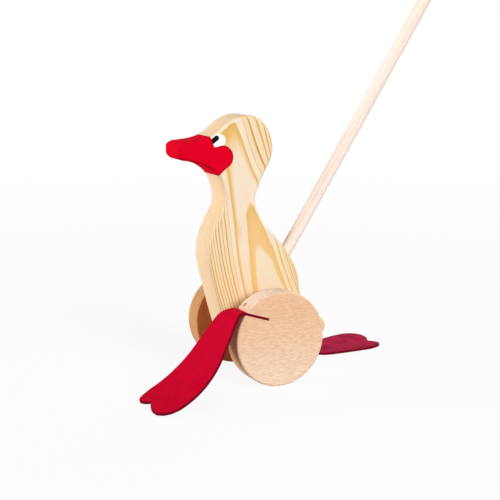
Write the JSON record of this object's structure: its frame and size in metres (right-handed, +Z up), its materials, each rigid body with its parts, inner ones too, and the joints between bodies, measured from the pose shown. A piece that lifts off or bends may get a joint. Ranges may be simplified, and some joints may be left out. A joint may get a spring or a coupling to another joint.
{
  "type": "push-along duck toy",
  "caption": "Wooden push-along duck: a sawn pine duck on beech wheels, pushed by a long dowel, with leather feet held in the wheels that slap the floor as they turn.",
  "frame": {"origin": "point on the floor under the middle of the axle", "axes": "+X the way the duck looks and rolls, +Y to its left along the axle, +Z up"},
  "size_m": [0.3979, 0.1573, 0.4921],
  "materials": {
    "pine": "clear lacquered pine with sawn and sanded edges, beak and cheek painted red, eye painted white and black",
    "beech": "clear lacquered beech",
    "dowel": "bare sanded hardwood dowel",
    "leather": "matt dyed red leather",
    "steel": "plain steel brad"
  },
  "bodies": {
    "duck": {"body": "pine", "push_stick": "dowel", "left_spacer": "beech", "right_spacer": "beech"},
    "wheelset": {"axle": "dowel", "left_wheel": "beech", "right_wheel": "beech", "left_foot_tab": "leather", "right_foot_tab": "leather", "left_brad": "steel", "right_brad": "steel"},
    "left_flap": {"left_foot": "leather"},
    "right_flap": {"right_foot": "leather"}
  },
  "joints": [
    {"name": "wheel_spin", "type": "hinge", "parent": "duck", "child": "wheelset", "pos_m": [0, 0, 0.0375], "axis": [0, 1, 0], "continuous": true},
    {"name": "left_foot_bend", "type": "hinge", "parent": "wheelset", "child": "left_flap", "pos_m": [0.03109, 0, 0.06106], "axis": [0, 1, 0], "range_deg": [-50, 20], "stiffness_Nm_per_rad": 0.05},
    {"name": "right_foot_bend", "type": "hinge", "parent": "wheelset", "child": "right_flap", "pos_m": [-0.03109, 0, 0.01394], "axis": [0, 1, 0], "range_deg": [-20, 50], "stiffness_Nm_per_rad": 0.05}
  ]
}
